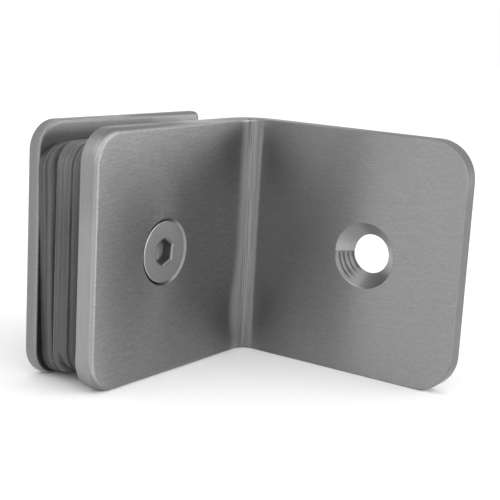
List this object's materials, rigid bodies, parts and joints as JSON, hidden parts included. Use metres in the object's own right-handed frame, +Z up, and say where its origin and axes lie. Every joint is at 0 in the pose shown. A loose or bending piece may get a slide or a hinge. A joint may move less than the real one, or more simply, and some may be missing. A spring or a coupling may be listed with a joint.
{
  "type": "glass panel clamp",
  "caption": "Right-angle clamp that holds a glass panel to a wall: a bent plate with a countersunk wall hole, a screwed rear plate and soft gaskets between them.",
  "frame": {"origin": "centre of the base of the closed clamp, standing on the lower edges of its plates", "axes": "+X out of the wall leg towards the wall, +Y along the clamp screw from its head to the rear plate, +Z up along the height of the plates"},
  "size_m": [0.053, 0.068, 0.05],
  "materials": {
    "satin_steel": "satin, brushed along the legs",
    "turned_steel": "turned, semi-bright",
    "sleeve_plastic": "plain moulded",
    "gasket_rubber": "smooth, slightly glossy"
  },
  "bodies": {
    "bracket": {"angle_bracket": "satin_steel", "thin_gasket_3": "gasket_rubber", "thick_gasket_1": "gasket_rubber", "thick_gasket_2": "gasket_rubber", "thin_gasket_4": "gasket_rubber", "thin_gasket_5": "gasket_rubber"},
    "jaw": {"rear_plate": "satin_steel", "threaded_boss": "turned_steel", "glass_sleeve": "sleeve_plastic", "thin_gasket_1": "gasket_rubber", "thin_gasket_2": "gasket_rubber"},
    "screw": {"clamp_screw": "turned_steel"}
  },
  "joints": [
    {"name": "jaw_slide", "type": "slide", "parent": "bracket", "child": "jaw", "axis": [0, 1, 0], "range_m": [-0.0005, 0.0055]},
    {"name": "screw_turn", "type": "hinge", "parent": "bracket", "child": "screw", "pos_m": [-0.0055, 0.016, 0.025], "axis": [0, -1, 0], "range_deg": [-181, 1981]}
  ],
  "couplings": [
    {"joint": "screw_turn", "follows": "jaw_slide", "rad_per_m": 6283.2}
  ]
}
